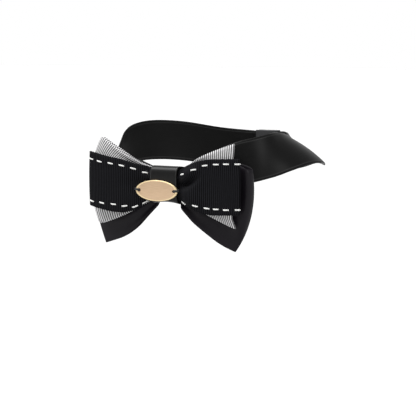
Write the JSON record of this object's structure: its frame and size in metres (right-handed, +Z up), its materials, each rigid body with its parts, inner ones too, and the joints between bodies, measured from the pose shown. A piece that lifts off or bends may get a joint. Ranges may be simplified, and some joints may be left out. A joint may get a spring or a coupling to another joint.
{
  "type": "dog bow tie on a neck band",
  "caption": "Layered ribbon bow tie for a dog: satin, grey grosgrain and hand-stitched black grosgrain loops gathered by a wrap with an oval name plate on a satin neck band",
  "frame": {"origin": "on the axis of the neck that the band goes round, level with the middle of the bow", "axes": "+Z up along the neck, -Y out through the front of the bow, +X to the right of someone who faces the bow"},
  "size_m": [0.106, 0.1056, 0.0547],
  "materials": {
    "band_satin": "black satin ribbon with a soft sheen",
    "bow_satin": "charcoal black satin ribbon with a soft sheen",
    "grey_grosgrain": "light grey ribbed grosgrain ribbon, matt",
    "black_grosgrain": "bluish black ribbed grosgrain ribbon, matt",
    "white_thread": "white sewing thread",
    "black_thread": "black sewing thread",
    "gold_plate": "brushed pale gold with a bright bevelled rim",
    "black_plastic": "black, plain"
  },
  "bodies": {
    "root": {"neck_band": "band_satin", "satin_bow": "bow_satin", "grey_bow": "grey_grosgrain", "stitched_bow": "black_grosgrain", "centre_wrap": "band_satin", "name_plate": "gold_plate", "band_clasp": "black_plastic"}
  },
  "joints": []
}
